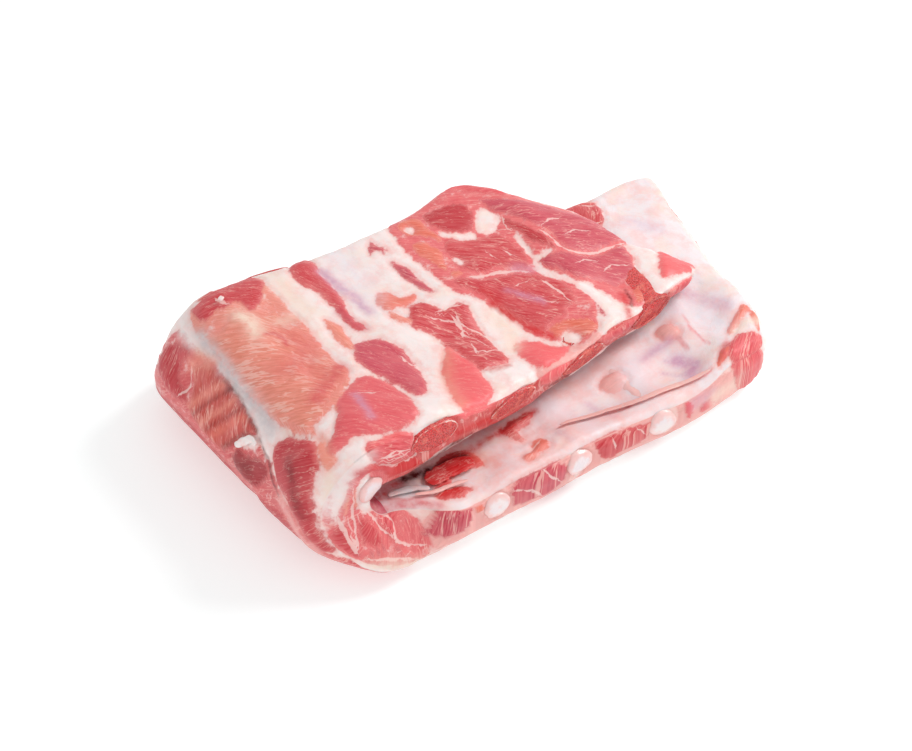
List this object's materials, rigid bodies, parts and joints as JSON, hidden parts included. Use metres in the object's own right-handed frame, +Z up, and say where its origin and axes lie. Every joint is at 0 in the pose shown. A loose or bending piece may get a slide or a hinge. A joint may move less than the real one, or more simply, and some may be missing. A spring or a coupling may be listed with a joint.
{
  "type": "raw pork spare ribs",
  "caption": "Raw pork spare ribs, a slab folded over on itself with the meat side out, and sawn rib ends showing along one edge.",
  "frame": {"origin": "on the surface it lies on, under the middle of the whole folded slab", "axes": "+X from the fold to the two open ends, across the ribs; +Y along the ribs, away from the sawn edge; +Z up"},
  "size_m": [0.2226, 0.1416, 0.0549],
  "materials": {
    "meat": "moist raw pork, pink-red muscle with white fat seams",
    "rib_bone": "freshly sawn rib, spongy red marrow in a thin pale rim",
    "rib_cartilage": "moist bluish-white cartilage"
  },
  "bodies": {
    "root": {"meat": "meat", "rib_upper_1": "rib_bone", "rib_upper_2": "rib_bone", "rib_upper_3": "rib_bone", "rib_upper_4": "rib_bone", "rib_fold": "rib_cartilage", "rib_lower_1": "rib_cartilage", "rib_lower_2": "rib_cartilage", "rib_lower_3": "rib_cartilage"}
  },
  "joints": []
}
